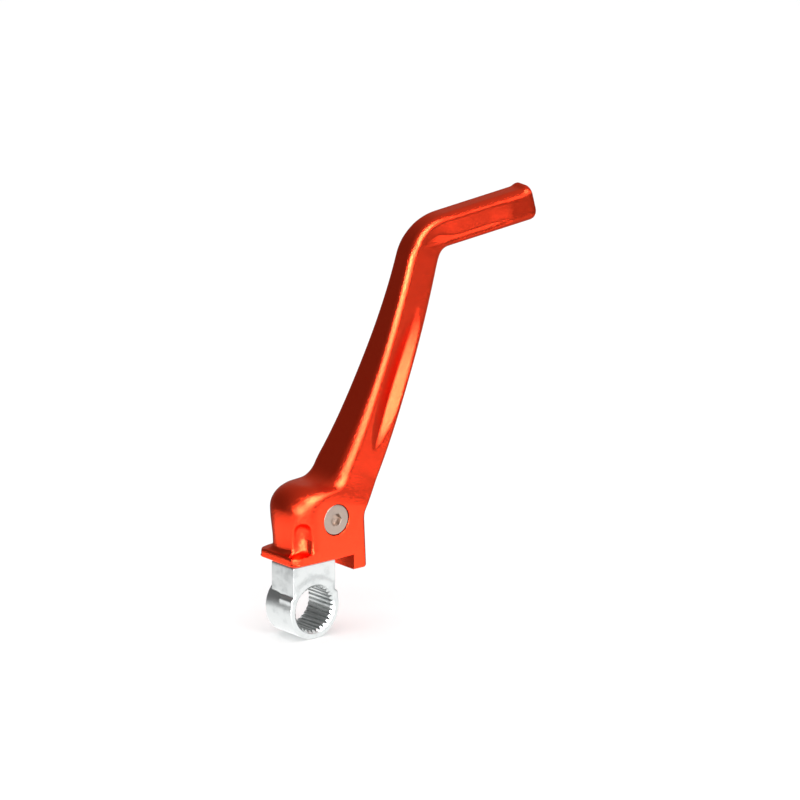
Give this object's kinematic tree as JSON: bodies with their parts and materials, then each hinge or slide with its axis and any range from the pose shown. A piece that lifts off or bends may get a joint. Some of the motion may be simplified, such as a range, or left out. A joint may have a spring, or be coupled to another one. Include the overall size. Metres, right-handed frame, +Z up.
{
  "type": "kick start lever",
  "caption": "Folding kick start lever: a forged bent lever turns on the pin of a splined knuckle, so its pedal swings out from beside the engine to be kicked.",
  "frame": {"origin": "centre of the splined bore, at the middle of the hub's width", "axes": "+Z up the shank along the fold axis, -Y outboard along the bore, +X the way the folded lever leans and its pedal points"},
  "size_m": [0.166, 0.031, 0.2157],
  "materials": {
    "lever": "satin orange anodised over a blasted forging",
    "knuckle": "satin zinc plate",
    "screw": "turned stainless",
    "ball": "polished bearing steel",
    "spring": "drawn spring wire",
    "seal": "matte moulded"
  },
  "bodies": {
    "knuckle": {"knuckle": "knuckle", "detent_spring": "spring", "seal_ring": "seal"},
    "lever": {"lever": "lever", "retaining_screw": "screw"},
    "ball": {"detent_ball": "ball"}
  },
  "joints": [
    {"name": "fold", "type": "hinge", "parent": "knuckle", "child": "lever", "pos_m": [0, 0, 0.0262], "axis": [0, 0, 1], "range_deg": [-90, 0]},
    {"name": "detent", "type": "slide", "parent": "knuckle", "child": "ball", "axis": [0, 0, 1], "range_m": [0, 0.0007], "stiffness_N_per_m": 4700, "springref_m": 0.004, "deforming": ["detent_spring"]}
  ]
}
